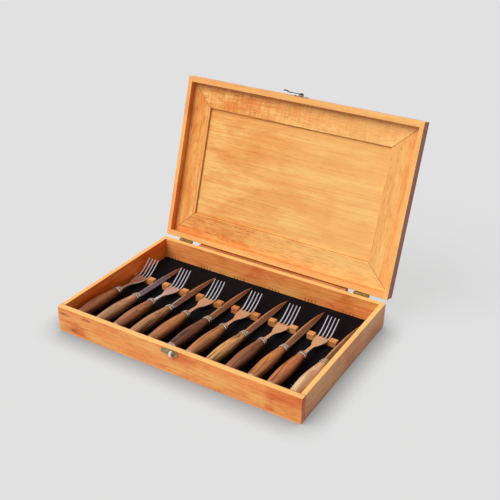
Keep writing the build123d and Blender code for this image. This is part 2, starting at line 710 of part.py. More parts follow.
def hook_strip():
    """The hook's strip seen from the side: flat past the staple, then a tab that lifts and curls back."""
    back = -HOOK_STAND_OFF
    knee = -(HOOK_LENGTH - HOOK_TAB_LENGTH)
    lift = back - HOOK_TAB_RISE
    curl = HOOK_TAB_LENGTH / 4
    path = Polyline((back - HOOK_THICKNESS / 2, HOOK_EYE_RADIUS), (back - HOOK_THICKNESS / 2, knee))
    tab = Spline(
        (back - HOOK_THICKNESS / 2, knee),
        (lift, knee - HOOK_TAB_LENGTH + 1.6 * curl),
        (lift - HOOK_TAB_CREST, -HOOK_LENGTH + 0.5 * curl),
        (lift + HOOK_TAB_CURL, -HOOK_LENGTH + HOOK_THICKNESS / 2),
        tangents=((0, -1), (1, -1)),
    )
    line = Plane.YZ * (path + tab)
    start = Plane(origin=line @ 0, x_dir=(1, 0, 0), z_dir=line % 0)
    section = start * Rectangle(HOOK_WIDTH + 2 * HOOK_EYE_RADIUS, HOOK_THICKNESS)
    return sweep(section, line)


def latch_hook():
    """The swing hook, hanging as when it is shut: eye, tapered arm, claw and finger tab in one strip."""
    taper = HOOK_WIDTH / 2
    arm = make_face(
        Polyline(
            (-taper, 0),
            (-taper, -HOOK_LENGTH + HOOK_TAB_LENGTH),
            (-taper - HOOK_TAB_FLARE, -HOOK_LENGTH - OVERSHOOT),
            (taper + HOOK_TAB_FLARE, -HOOK_LENGTH - OVERSHOOT),
            (taper, -HOOK_LENGTH + HOOK_TAB_LENGTH),
            (taper, 0),
            close=True,
        )
    )
    plan = arm + Circle(HOOK_EYE_RADIUS)
    tall = LATCH_PLATE_THICKNESS + HOOK_STAND_OFF + HOOK_TAB_RISE + 4 * HOOK_THICKNESS
    hook = extrude(Plane.XZ * plan, tall) & hook_strip()
    hook += claw()
    hook -= rod(RIVET_RADIUS + PIN_CLEARANCE, -tall, OVERSHOOT)
    return Pos(LATCH_FROM_MIDDLE, -OUTER_Y, LATCH_Z) * hook


def claw():
    """A tongue curved about the rivet, which enters the staple sideways as the hook swings down."""
    mouth = math.radians(CLAW_ANGLE)
    points = []
    for radius in (CLAW_RADIUS - CLAW_WIDTH / 2, CLAW_RADIUS + CLAW_WIDTH / 2):
        points.append([(radius * math.sin(a), -radius * math.cos(a)) for a in (0, mouth / 2, mouth)])
    inner, outer = points
    ends = Line(inner[0], outer[0]) + Line(inner[2], outer[2])
    face = make_face(ThreePointArc(*inner) + ThreePointArc(*outer) + ends)
    face = fillet(face.vertices().group_by(Axis.X)[-1] + face.vertices().group_by(Axis.X)[-2], CLAW_WIDTH / 4)
    tongue = extrude(Plane.XZ * face, HOOK_THICKNESS)
    return Pos(0, -HOOK_STAND_OFF, 0) * tongue


def keeper_plate():
    """The front wall's plate with the staple that the claw enters."""
    plate = stadium_plate(KEEPER_LENGTH, KEEPER_WIDTH, LATCH_PLATE_THICKNESS)
    inner_reach = HOOK_STAND_OFF + HOOK_THICKNESS + STAPLE_HEADROOM
    outer_reach = inner_reach + STAPLE_STRAP
    x = (STAPLE_X - STAPLE_WIDTH / 2, STAPLE_X + STAPLE_WIDTH / 2)
    inside = STAPLE_OPENING / 2
    outside = inside + STAPLE_STRAP
    strap = block(x, (-outer_reach, 0), (-outside, outside))
    strap = fillet(strap.edges().filter_by(Axis.X).group_by(Axis.Y)[0], 2 * STAPLE_STRAP)
    across = (x[0] - OVERSHOOT, x[1] + OVERSHOOT)
    gap = block(across, (-inner_reach, -LATCH_PLATE_THICKNESS), (-inside, inside))
    gap = fillet(gap.edges().filter_by(Axis.X).group_by(Axis.Y)[0], STAPLE_STRAP)
    plate = plate + strap - gap
    for bore in nail_bores(KEEPER_LENGTH):
        plate -= bore
    return Pos(LATCH_FROM_MIDDLE, -OUTER_Y, STAPLE_Z) * plate


def swung_aside(shape):
    """The hook turned from hanging down to lying along the lid, pointing left."""
    return shape.rotate(Axis((LATCH_FROM_MIDDLE, 0, LATCH_Z), (0, 1, 0)), 90)


# ---------------------------------------------------------------------------- assembly


def drilled(board, holes):
    """A board with its fastener holes."""
    for hole in holes:
        board -= hole
    return board


def base_nodes():
    """The fixed body: boards, lining, comb, rack, batten and the hardware that is fastened to it."""
    front, back, left, right = butt_jointed(BOTTOM_THICKNESS, BASE_HEIGHT)
    return {
        "front_wall": drilled(front, front_holes(KEEPER_LENGTH, STAPLE_Z)),
        "back_wall": drilled(back, back_holes(0)),
        "left_wall": left,
        "right_wall": right,
        "bottom_panel": bottom_panel(),
        "floor_lining": floor_lining(),
        "divider_comb": divider_comb(),
        "handle_rack": handle_rack(),
        "stop_batten": stop_batten(),
        "keeper_plate": keeper_plate(),
        "hinge_base_leaves": at_both_hinges(hinge_leaf(0)),
        "hinge_pins": at_both_hinges(hinge_pin()),
        "base_fasteners": hinge_screws(0) + plate_nails(KEEPER_LENGTH, STAPLE_Z),
    }


def lid_nodes():
    """The lid, the hinge leaves on it and the latch, modelled closed."""
    front, back, left, right = butt_jointed(LID_RIM_Z, LID_TOP_Z)
    rivet_hole = shank_hole(LATCH_FROM_MIDDLE, LATCH_Z, RIVET_RADIUS, RIVET_DEPTH, False)
    long_pair, short_pair = lid_mouldings()
    return {
        "lid_front_rail": drilled(front, front_holes(LATCH_PLATE_LENGTH, LATCH_Z) + [rivet_hole]),
        "lid_back_rail": drilled(back, back_holes(1)),
        "lid_left_rail": left,
        "lid_right_rail": right,
        "lid_panel": lid_panel(),
        "lid_long_mouldings": long_pair,
        "lid_short_mouldings": short_pair,
        "hinge_lid_leaves": at_both_hinges(hinge_leaf(1)),
        "latch_plate": [latch_plate(), latch_rivet()],
        "lid_fasteners": hinge_screws(1) + plate_nails(LATCH_PLATE_LENGTH, LATCH_Z),
        "latch_hook": swung_aside(latch_hook()),
    }


def main():
    """Writes one STEP file for each node."""
    nodes = base_nodes()
    for name, shape in lid_nodes().items():
        parts = shape if isinstance(shape, list) else [shape]
        nodes[name] = [opened(part) for part in parts]
    nodes.update(cutlery())
    os.makedirs("parts", exist_ok=True)
    for name, shape in nodes.items():
        parts = shape if isinstance(shape, list) else [shape]
        solids = [solid for part in parts for solid in part.solids()]
        export_step(solids[0] if len(solids) == 1 else Compound(solids), f"parts/{name}.step")
    print(f"chest {2 * OUTER_X:.1f} x {2 * OUTER_Y:.1f} x {BASE_HEIGHT:.1f}, lid {LID_HEIGHT:.1f}")
    print(f"pin y {PIN_Y:.3f} z {PIN_Z:.3f}, knife {KNIFE_LENGTH:.1f}")
    print(f"tilts: knife {KNIFE_TILT:.3f}, fork {FORK_TILT:.3f}")


main()
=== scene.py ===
"""An open silverware chest with six forks and six knives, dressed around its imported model.

Metres, in the model's own frame: +X along the chest, +Y from front to back, +Z up. The boards, the lid and
the metalwork keep their modelled shapes and get their finishes here. The cutlery and the floor lining are new
surfaces, worked out on grids, that stand for the plain solids and take their places and lengths from them.
"""

import json
import math

import bpy
import numpy as np
from mathutils import Matrix, Vector


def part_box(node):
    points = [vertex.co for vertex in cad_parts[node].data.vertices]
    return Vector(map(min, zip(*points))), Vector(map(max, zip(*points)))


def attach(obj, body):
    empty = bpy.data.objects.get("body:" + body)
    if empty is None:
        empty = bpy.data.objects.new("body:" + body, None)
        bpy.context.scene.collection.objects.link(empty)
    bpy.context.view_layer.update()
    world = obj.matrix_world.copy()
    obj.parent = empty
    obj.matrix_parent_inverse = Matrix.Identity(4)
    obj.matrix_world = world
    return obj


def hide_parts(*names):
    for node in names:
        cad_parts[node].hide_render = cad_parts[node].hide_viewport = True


MM = 0.001
PAIRS = 6

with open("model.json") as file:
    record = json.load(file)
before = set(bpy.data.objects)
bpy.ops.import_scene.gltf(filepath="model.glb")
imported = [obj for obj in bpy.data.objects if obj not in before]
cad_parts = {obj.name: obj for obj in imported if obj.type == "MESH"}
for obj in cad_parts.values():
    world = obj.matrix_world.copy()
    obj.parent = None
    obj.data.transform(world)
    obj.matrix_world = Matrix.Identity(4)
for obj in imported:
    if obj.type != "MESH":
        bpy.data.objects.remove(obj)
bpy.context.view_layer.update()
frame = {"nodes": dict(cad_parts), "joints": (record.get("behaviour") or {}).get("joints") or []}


# ---------------------------------------------------------------------------- what the model gives


def corners(node):
    """Every different corner of a node's mesh."""
    mesh = frame["nodes"][node].data
    points = np.empty(len(mesh.vertices) * 3, np.float32)
    mesh.vertices.foreach_get("co", points)
    return np.unique(points.reshape(-1, 3).round(6), axis=0).astype(float)


def joint(name):
    """One joint of the model's record."""
    return next(j for j in frame["joints"] if j["name"] == name)


class Axes:
    """A fork's or knife's own axes: across, along from its butt, and up."""

    def __init__(self, name):
        fittings = corners(f"{name}_fittings")
        at_butt = fittings[:, 1] < fittings[:, 1].mean()
        cap = fittings[at_butt].mean(axis=0)
        ferrule = fittings[~at_butt].mean(axis=0)
        self.name = name
        self.along = (ferrule - cap) / np.linalg.norm(ferrule - cap)
        level = np.array([0.0, 0.0, 1.0])
        up = level - level @ self.along * self.along
        self.up = up / np.linalg.norm(up)
        self.across = np.cross(self.along, self.up)
        self.butt = cap + ((fittings - cap) @ self.along).min() * self.along
        self.cap_end = self.reach(fittings[at_butt])[1]
        self.neck, self.heel = self.reach(fittings[~at_butt])
        steel = "head" if name.startswith("fork") else "blade"
        self.tip = self.reach(corners(f"{name}_{steel}"))[1]

    def reach(self, points):
        """How far along the piece some points begin and end."""
        along = (points - self.butt) @ self.along
        return along.min(), along.max()

    def place(self, local):
        """Points given as (across, along, up), in the model's frame."""
        return self.butt + local @ np.stack([self.across, self.along, self.up])


# ---------------------------------------------------------------------------- surfaces


def smooth_line(at, stations, values):
    """A line through values at stations: cubic pieces whose slopes are those of the neighbouring chords."""
    x = np.asarray(stations, float)
    v = np.asarray(values, float)
    slope = np.gradient(v, x)
    i = np.clip(np.searchsorted(x, at, side="right") - 1, 0, len(x) - 2)
    step = x[i + 1] - x[i]
    t = (at - x[i]) / step
    rise = (2 * t**3 - 3 * t**2 + 1) * v[i] + (3 * t**2 - 2 * t**3) * v[i + 1]
    return rise + step * ((t**3 - 2 * t**2 + t) * slope[i] + (t**3 - t**2) * slope[i + 1])


def tube_faces(rings, around):
    """Quads between neighbouring rings, and a fan of triangles from each end ring to its pole."""
    ring = np.arange(rings - 1)[:, None] * around
    here = np.arange(around)[None, :]
    there = (here + 1) % around
    quads = np.stack([ring + here, ring + around + here, ring + around + there, ring + there], axis=-1)
    here, there = here[0], there[0]
    last = (rings - 1) * around
    start_pole = np.full(around, rings * around)
    start = np.stack([start_pole, here, there], axis=-1)
    end = np.stack([start_pole + 1, last + there, last + here], axis=-1)
    return quads.reshape(-1, 4).tolist() + start.tolist() + end.tolist()


def make_piece(name, points, faces, material):
    """A smooth-shaded piece from points in the model's frame."""
    mesh = bpy.data.meshes.new(name)
    mesh.from_pydata(points, [], faces)
    mesh.polygons.foreach_set("use_smooth", np.ones(len(mesh.polygons), bool))
    mesh.materials.append(material)
    mesh.validate()
    piece = bpy.data.objects.new(name, mesh)
    bpy.context.scene.collection.objects.link(piece)
    return piece


def tube(name, rings, axes, material):
    """A closed piece through rings of (across, along, up) points, as an array of ring by point by 3."""
    count, around, _ = rings.shape
    poles = rings[[0, -1]].mean(axis=1)
    points = axes.place(np.concatenate([rings.reshape(-1, 3), poles]))
    return make_piece(name, points, tube_faces(count, around), material)


def turned_rings(profile, around):
    """Rings of a round form: each (along, radius) of the profile carried once about the centre line."""
    turn = np.linspace(0, 2 * math.pi, around, endpoint=False)[None, :]
    along, radius = np.asarray(profile, float).T[:, :, None]
    return np.stack([radius * np.cos(turn), along + 0 * turn, radius * np.sin(turn)], axis=-1)


def keep(piece, body, slot, *nodes):
    """The piece moves with a body and stands for the nodes; the finish slot is not used."""
    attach(piece, body)
    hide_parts(*nodes)


# ---------------------------------------------------------------------------- material tools


def linear(red, green, blue):
    """A colour written 0 to 255, as the shaders' linear values."""
    share = np.array([red, green, blue]) / 255
    low = share / 12.92
    high = ((share + 0.055) / 1.055) ** 2.4
    return (*np.where(share <= 0.04045, low, high).tolist(), 1.0)


class Tree:
    """Adds nodes to a material's or a group's tree and links them."""

    def __init__(self, tree):
        self.tree = tree

    def node(self, kind, settings=None, **inputs):
        """A node with its settings and its inputs: a number, a colour or another node's output."""
        made = self.tree.nodes.new(kind)
        for key, value in (settings or {}).items():
            setattr(made, key, value)
        for key, value in inputs.items():
            self.feed(made.inputs[key.replace("_", " ")], value)
        return made

    def feed(self, socket, value):
        if isinstance(value, bpy.types.NodeSocket):
            self.tree.links.new(value, socket)
        else:
            socket.default_value = value

    def math(self, operation, first, second=0.0, clamp=False):
        made = self.node("ShaderNodeMath", {"operation": operation, "use_clamp": clamp})
        for socket, value in zip(made.inputs, (first, second)):
            self.feed(socket, value)
        return made.outputs[0]

    def vector(self, operation, first, second):
        made = self.node("ShaderNodeVectorMath", {"operation": operation})
        self.feed(made.inputs[0], first)
        self.feed(made.inputs[1], second)
        return made.outputs[0]

    def scaled(self, vector, factor):
        made = self.node("ShaderNodeVectorMath", {"operation": "SCALE"}, Vector=vector, Scale=factor)
        return made.outputs[0]

    def spread(self, value, low, high, start=0.0, end=1.0):
        """A smooth change from start to end as value goes from low to high."""
        made = self.node("ShaderNodeMapRange", {"interpolation_type": "SMOOTHSTEP"})
        for key, number in (("From Min", low), ("From Max", high), ("To Min", start), ("To Max", end)):
            made.inputs[key].default_value = number
        self.feed(made.inputs["Value"], value)
        return made.outputs["Result"]

    def noise(self, vector, scale, detail=2.0, roughness=0.5, distortion=0.0):
        made = self.node("ShaderNodeTexNoise", Vector=vector, Scale=scale, Detail=detail, Roughness=roughness)
        made.inputs["Distortion"].default_value = distortion
        return made.outputs["Fac"]

    def mix(self, share, first, second, blend="MIX"):
        made = self.node("ShaderNodeMix", {"data_type": "RGBA", "blend_type": blend, "clamp_factor": True})
        for index, value in ((0, share), (6, first), (7, second)):
            self.feed(made.inputs[index], value)
        return made.outputs[2]

    def split(self, vector):
        return self.node("ShaderNodeSeparateXYZ", Vector=vector).outputs

    def bump(self, height, distance, strength=1.0):
        made = self.node("ShaderNodeBump", Height=height, Distance=distance, Strength=strength)
        return made.outputs["Normal"]


def new_group(name, inputs, outputs):
    """An empty shader group with its sockets, and the tree, input and output nodes to fill it."""
    group = bpy.data.node_groups.new(name, "ShaderNodeTree")
    for socket, (kind, default) in inputs.items():
        made = group.interface.new_socket(socket, in_out="INPUT", socket_type=f"NodeSocket{kind}")
        if default is not None:
            made.default_value = default
    for socket, kind in outputs.items():
        group.interface.new_socket(socket, in_out="OUTPUT", socket_type=f"NodeSocket{kind}")
    tree = Tree(group)
    given = tree.node("NodeGroupInput").outputs
    return tree, given, tree.node("NodeGroupOutput").inputs


def use_group(tree, name, **inputs):
    """One use of a shared group in a material."""
    return tree.node("ShaderNodeGroup", {"node_tree": bpy.data.node_groups[name]}, **inputs).outputs


def new_material(name):
    """A material with an empty surface shader: its tree, its shader and its object coordinates."""
    material = bpy.data.materials.new(name)
    material.use_nodes = True
    material.node_tree.nodes.clear()
    tree = Tree(material.node_tree)
    shader = tree.node("ShaderNodeBsdfPrincipled")
    surface = tree.node("ShaderNodeOutputMaterial").inputs["Surface"]
    tree.feed(surface, shader.outputs[0])
    place = tree.node("ShaderNodeTexCoord").outputs["Object"]
    return material, tree, shader, place


# ---------------------------------------------------------------------------- shared effects


def build_wood_figure():
    """Wood with its grain along X: fine lines, bands, clouds, blotches, flecks, pores and cross ripple."""
    names = ("Grain", "Bands", "Clouds", "Blotches", "Flecks", "Pores", "Ripple")
    tree, given, out = new_group(
        "wood_figure",
        {"Vector": ("Vector", None), "Fineness": ("Float", 1.0), "Waviness": ("Float", 1.0)},
        {name: "Float" for name in names},
    )
    place = given["Vector"]

    def figure(vector, along, across, detail, roughness=0.55, distortion=0.0):
        stretched = tree.vector("MULTIPLY", vector, (along, across, across))
        return tree.noise(stretched, 1.0, detail, roughness, distortion)

    sway = tree.math("SUBTRACT", figure(place, 5.0, 22.0, 2.0), 0.5)
    sway = tree.math("MULTIPLY", tree.math("MULTIPLY", sway, given["Waviness"]), 0.012)
    swayed = tree.vector("ADD", place, tree.node("ShaderNodeCombineXYZ", Y=sway).outputs[0])
    tree.feed(out["Grain"], figure(tree.scaled(swayed, given["Fineness"]), 9.0, 420.0, 4.0, 0.62))
    tree.feed(out["Bands"], figure(swayed, 3.0, 64.0, 3.0, 0.5, 0.2))
    tree.feed(out["Clouds"], figure(place, 8.0, 22.0, 2.0, 0.5, 0.3))
    tree.feed(out["Blotches"], figure(place, 16.0, 30.0, 3.0, 0.55, 0.4))
    tree.feed(out["Flecks"], tree.spread(figure(swayed, 64.0, 700.0, 2.0, 0.6), 0.52, 0.68))
    tree.feed(out["Pores"], tree.spread(figure(swayed, 70.0, 1300.0, 1.0, 0.4), 0.62, 0.74))
    tree.feed(out["Ripple"], figure(place, 300.0, 26.0, 2.0, 0.5, 0.5))


def build_edge_wear():
    """Where a surface turns sharply, for wear and a painted highlight: 1 on the edge and 0 on the flat."""
    tree, given, out = new_group("edge_wear_and_highlight", {"Radius": ("Float", 0.0015)}, {"WornAndHighlit": "Float"})
    bevel = tree.node("ShaderNodeBevel", {"samples": 4}, Radius=given["Radius"]).outputs[0]
    geometry = tree.node("ShaderNodeNewGeometry").outputs["Normal"]
    made = tree.node("ShaderNodeVectorMath", {"operation": "DOT_PRODUCT"})
    tree.feed(made.inputs[0], bevel)
    tree.feed(made.inputs[1], geometry)
    tree.feed(out["WornAndHighlit"], tree.spread(made.outputs["Value"], 0.995, 0.86))


def build_joint_line():
    """A thin dark line where a coordinate passes a place: glued joints, and painted shadow beside edges."""
    tree, given, out = new_group(
        "joint_and_shadow_line",
        {"Coordinate": ("Float", 0.0), "Place": ("Float", 0.0), "Width": ("Float", 0.0004)},
        {"Line": "Float"},
    )
    away = tree.math("ABSOLUTE", tree.math("SUBTRACT", given["Coordinate"], given["Place"]))
    tree.feed(out["Line"], tree.math("SUBTRACT", 1.0, tree.math("DIVIDE", away, given["Width"]), clamp=True))


build_wood_figure()
build_edge_wear()
build_joint_line()


# ---------------------------------------------------------------------------- wood

OPEN_ANGLE = math.radians(-joint("lid_hinge")["range_deg"][0])
PIN = np.array(joint("lid_hinge")["pos_m"], float)
SHUT = np.array(Matrix.Rotation(OPEN_ANGLE, 3, "X"))
JOINT_AND_SHADOW_LINE_WIDTH = 1.1 * MM
# Radius of the paler sharp edges: wear, and a painted highlight.
EDGE_WEAR_AND_HIGHLIGHT_RADIUS = 1.6 * MM
TINE_PITCH = 6.3 * MM
DARK_LINE = linear(96, 46, 18)
# Dark marks: the mineral streaks, and the painted tine shadows.
STREAK_AND_TINE_SHADOW = linear(112, 52, 24)
FLECK = linear(186, 112, 60)
# A pale tone for the paler rim band, and for painted light on the lid's boards.
PALE_AND_PAINTED_LIGHT = linear(255, 206, 128)
# Painted shade: a tint for the front board's right end face, the side away from the light.
RIGHT_END_PAINTED_SHADE = linear(236, 206, 214)
# Painted shade: a darker tint for the lid's outer right faces, the side away from the light.
LID_SIDE_PAINTED_SHADE = linear(182, 122, 88)
TAN = (linear(226, 160, 98), linear(208, 134, 76), linear(174, 102, 54))
GOLD = (linear(252, 200, 120), linear(243, 174, 94), linear(234, 150, 74))
HONEY = (linear(250, 184, 104), linear(242, 160, 84), linear(226, 128, 62))
ORANGE = (linear(253, 186, 104), linear(250, 160, 84), linear(230, 120, 58))
AMBER = (linear(255, 184, 106), linear(255, 164, 90), linear(224, 108, 50))
ROSY = (linear(255, 190, 122), linear(252, 172, 110), linear(240, 138, 86))
RUSSET = (linear(255, 164, 72), linear(255, 134, 46), linear(226, 94, 24))


def board_place(tree, place, in_lid=False, turned=False, offset=(0.0, 0.0, 0.0)):
    """Coordinates with a board's grain along X: the lid is laid flat first, and side boards are turned."""
    if in_lid:
        place = tree.node("ShaderNodeMapping", Vector=place, Location=tuple(PIN - SHUT @ PIN),
                          Rotation=(OPEN_ANGLE, 0.0, 0.0)).outputs[0]
    flat = place
    turn = math.pi / 2 if turned else 0.0
    place = tree.node("ShaderNodeMapping", Vector=flat, Location=offset, Rotation=(0.0, 0.0, turn)).outputs[0]
    return flat, place


def board_colour(tree, figure, tones, blotched, flecked):
    """Bands and clouds lead from pale to middle, blotches bring the deep tone, grain and flecks darken it."""
    pale, middle, deep = tones
    tone = tree.math("MULTIPLY", tree.math("ADD", figure["Bands"], figure["Clouds"]), 0.5)
    colour = tree.mix(tree.spread(tone, 0.42, 0.58), pale, middle)
    colour = tree.mix(tree.spread(figure["Blotches"], 0.44, 0.70, 0.0, blotched), colour, deep)
    colour = tree.mix(tree.spread(figure["Grain"], 0.40, 0.70, 0.0, 0.45), colour, deep, "MULTIPLY")
    return tree.mix(tree.math("MULTIPLY", figure["Flecks"], flecked), colour, FLECK, "MULTIPLY")


def varnished(name, tones, blotched=0.6, flecked=0.25, in_lid=False, turned=False, offset=(0, 0, 0),
              waviness=1.0, ripple=0.0, painted_light_right=0.0, pale_rim=None, lines=(), lines_below=1.0, streaks=(),
              painted_side_shade=None, tine_shadows=False):
    """A stained and varnished board.

    Ripple and painted_light_right are shares, pale_rim is the (z, share) of a paler band at that height,
    lines are (coordinate, place) dark lines seen below a z, at joints and as painted shadow, streaks are (x,
    z, length, height), and painted_side_shade is the (x, tint) beyond which a tint darkens the face as
    painted shade.
    """
    material, tree, shader, place = new_material(name)
    flat, board = board_place(tree, place, in_lid, turned, offset)
    x, y, z = tree.split(flat)
    figure = use_group(tree, "wood_figure", Vector=board, Fineness=1.0, Waviness=waviness)
    colour = board_colour(tree, figure, tones, blotched, flecked)
    if ripple:
        share = tree.math("MULTIPLY", tree.spread(figure["Ripple"], 0.44, 0.62),
                          tree.spread(y, 0.02, -0.02, 0.0, ripple))
        colour = tree.mix(share, colour, tones[2], "MULTIPLY")
    # Painted light: the board grows paler towards +X.
    if painted_light_right:
        colour = tree.mix(tree.spread(x, -0.16, 0.20, 0.0, painted_light_right), colour, PALE_AND_PAINTED_LIGHT)
    # A paler band at the rim's height.
    if pale_rim is not None:
        level, share = pale_rim
        away = tree.math("ABSOLUTE", tree.math("SUBTRACT", z, level))
        colour = tree.mix(tree.spread(away, 0.5 * MM, 0.2 * MM, 0.0, share), colour, PALE_AND_PAINTED_LIGHT)
    for coordinate, at in lines:
        line = use_group(tree, "joint_and_shadow_line", Coordinate=coordinate(tree, flat), Place=at,
                         Width=JOINT_AND_SHADOW_LINE_WIDTH)["Line"]
        inner = tree.spread(z, lines_below + 0.2 * MM, lines_below - 0.2 * MM, 0.0, 0.95)
        colour = tree.mix(tree.math("MULTIPLY", line, inner), colour, DARK_LINE)
    for streak in streaks:
        colour = tree.mix(mineral_streak(tree, flat, *streak), colour, STREAK_AND_TINE_SHADOW)
    # Painted shadows of the fork tines on the back wall.
    if tine_shadows:
        colour = tree.mix(paint_tine_shadows(tree, flat), colour, STREAK_AND_TINE_SHADOW)
    # Painted shade: beyond x the face is tinted darker, as on the side away from the light.
    if painted_side_shade:
        at, tint = painted_side_shade
        colour = tree.mix(tree.spread(x, at - 0.6 * MM, at - 0.2 * MM), colour, tint, "MULTIPLY")
    # Paler sharp edges: wear, and a painted highlight.
    worn_and_highlit = use_group(tree, "edge_wear_and_highlight", Radius=EDGE_WEAR_AND_HIGHLIGHT_RADIUS)["WornAndHighlit"]
    colour = tree.mix(tree.math("MULTIPLY", worn_and_highlit, 0.4), colour, tones[0])
    tree.feed(shader.inputs["Base Color"], colour)
    gloss = tree.math("ADD", 0.36, tree.math("MULTIPLY", figure["Clouds"], 0.2))
    tree.feed(shader.inputs["Roughness"], gloss)
    height = tree.math("SUBTRACT", figure["Grain"], tree.math("MULTIPLY", figure["Pores"], 0.8))
    tree.feed(shader.inputs["Normal"], tree.bump(height, 0.00012, 0.5))
    shader.inputs["Specular IOR Level"].default_value = 0.35
    shader.inputs["Coat Weight"].default_value = 0.12
    shader.inputs["Coat Roughness"].default_value = 0.2
    return material


def mineral_streak(tree, flat, x, z, length, height):
    """A ragged dark mark drawn out along the grain, fading towards its ends."""
    away = tree.vector("SUBTRACT", flat, (x, 0.0, z))
    away = tree.vector("MULTIPLY", away, (1.0 / length, 0.0, 1.0 / height))
    away = tree.node("ShaderNodeVectorMath", {"operation": "LENGTH"}, Vector=away).outputs["Value"]
    ragged = tree.noise(tree.vector("MULTIPLY", flat, (160.0, 160.0, 620.0)), 1.0, 3.0, 0.65)
    return tree.spread(tree.math("ADD", away, tree.math("MULTIPLY", ragged, 2.4)), 2.3, 1.1, 0.0, 0.75)


def paint_tine_shadows(tree, flat):
    """Four short upright dark marks behind each fork, a little above the lining: painted tine shadows."""
    x, y, z = tree.split(flat)
    places = fork_places()
    step = (places[-1] - places[0]) / (PAIRS - 1)
    among = tree.math("FLOORED_MODULO", tree.math("SUBTRACT", x, places[0] - 2 * TINE_PITCH), step)
    within = tree.math("SUBTRACT", tree.math("FLOORED_MODULO", among, TINE_PITCH), TINE_PITCH / 2)
    shadow_tick = tree.spread(tree.math("ABSOLUTE", within), 1.5 * MM, 0.5 * MM)
    group = tree.spread(among, 4 * TINE_PITCH + 0.2 * MM, 4 * TINE_PITCH)
    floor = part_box("floor_lining")[1].z
    ragged = tree.math("MULTIPLY", tree.noise(flat, 400.0, 2.0), 7.0 * MM)
    height = tree.math("ADD", tree.math("SUBTRACT", z, floor), ragged)
    inner_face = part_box("back_wall")[0].y
    low = tree.math("MULTIPLY", tree.spread(height, 8.5 * MM, 6.5 * MM, 0.0, 0.6),
                    tree.spread(y, inner_face + 2 * MM, inner_face + MM))
    return tree.math("MULTIPLY", tree.math("MULTIPLY", shadow_tick, group), low)


def across_x(tree, flat):
    """The distance from the chest's middle, along it."""
    return tree.math("ABSOLUTE", tree.split(flat)["X"])


def across_y(tree, flat):
    """The distance from the chest's middle, front to back."""
    return tree.math("ABSOLUTE", tree.split(flat)["Y"])


def along_y(tree, flat):
    """The place from front to back."""
    return tree.split(flat)["Y"]


def mitre(tree, flat):
    """A coordinate that stays the same along a corner's mitre."""
    return tree.math("SUBTRACT", across_x(tree, flat), across_y(tree, flat))


def fork_places():
    """Where the forks' middles lie along the chest."""
    boxes = [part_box(f"fork_{number}_head") for number in range(1, PAIRS + 1)]
    return [(low.x + high.x) / 2 for low, high in boxes]


def dress_boards():
    """Each board of the base and lid, with its own tones and its own stretch of figure."""
    nodes = frame["nodes"]
    inside_x, inside_y = -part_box("left_wall")[1].x, -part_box("left_wall")[0].y
    outside_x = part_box("right_wall")[1].x
    moulding = inside_x - np.abs(corners("lid_short_mouldings")[:, 0]).min()
    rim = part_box("left_wall")[1].z
    lid_rim = 2 * PIN[2] - rim
    shut_panel = (corners("lid_panel") - PIN) @ SHUT.T + PIN
    panel_middle = float(shut_panel[:, 2].mean())
    base = {"pale_rim": (rim, 0.7), "lines": [(along_y, -inside_y)]}
    # Painted shade: the lid rails are tinted darker on their outer right faces.
    lid = {"in_lid": True, "pale_rim": (lid_rim, 0.4), "tones": HONEY, "painted_side_shade": (outside_x, LID_SIDE_PAINTED_SHADE)}
    mitred = {"in_lid": True, "lines": [(mitre, inside_x - inside_y)], "tones": GOLD, "blotched": 0.9}
    looks = {
        "front_wall": {**base, "tones": ORANGE, "offset": (0.3, 0.1, 0.2), "flecked": 0.35, "blotched": 0.9,
                       # Painted shade: the board's right end face is tinted darker and redder.
                       "painted_side_shade": (outside_x, RIGHT_END_PAINTED_SHADE),
                       "streaks": [(-0.206, 0.034, 0.014, 0.0040), (-0.190, 0.010, 0.014, 0.0050),
                                   (-0.160, 0.038, 0.014, 0.0026)]},
        "back_wall": {"tones": (ORANGE[0], AMBER[1], AMBER[2]), "offset": (1.3, 0.4, 0.6),
                      "pale_rim": (rim, 0.7), "tine_shadows": True, "blotched": 0.55, "flecked": 0.35},
        "left_wall": {**base, "tones": RUSSET, "turned": True, "offset": (2.1, 0.2, 0.1)},
        "right_wall": {**base, "tones": ROSY, "turned": True, "offset": (3.4, 0.7, 0.4)},
        "bottom_panel": {"tones": AMBER, "offset": (4.2, 0.5, 0.3)},
        "stop_batten": {"tones": TAN, "offset": (5.2, 0.9, 0.7)},
        "handle_rack": {"tones": AMBER, "offset": (6.6, 0.3, 0.8)},
        "divider_comb": {"tones": TAN, "offset": (7.1, 0.2, 0.4)},
        "lid_front_rail": {**lid, "offset": (0.9, 1.1, 0.2)},
        "lid_back_rail": {**lid, "offset": (1.9, 1.4, 0.3)},
        "lid_left_rail": {**lid, "tones": AMBER, "turned": True, "offset": (2.7, 1.2, 0.5)},
        "lid_right_rail": {**lid, "turned": True, "offset": (3.8, 1.6, 0.9)},
        # The panel's dark lines at the mouldings' inner edges: a joint, and painted shadow under the raised
        # edges.
        "lid_panel": {"tones": GOLD, "in_lid": True, "lines_below": panel_middle, "offset": (5.5, 1.3, 0.1),
                      "blotched": 0.65, "flecked": 0.25, "waviness": 0.6, "painted_light_right": 0.45,
                      "lines": [(across_x, inside_x - moulding), (across_y, inside_y - moulding)]},
        "lid_long_mouldings": {**mitred, "offset": (6.1, 1.8, 0.4), "ripple": 0.4, "flecked": 0.65,
                               "painted_light_right": 0.5},
        "lid_short_mouldings": {**mitred, "turned": True, "offset": (7.9, 1.5, 0.6), "flecked": 0.5,
                                "painted_light_right": 0.25},
    }
    for node, look in looks.items():
        nodes[node].data.materials.clear()
        nodes[node].data.materials.append(varnished(f"{node}_wood", **look))


# ---------------------------------------------------------------------------- metal


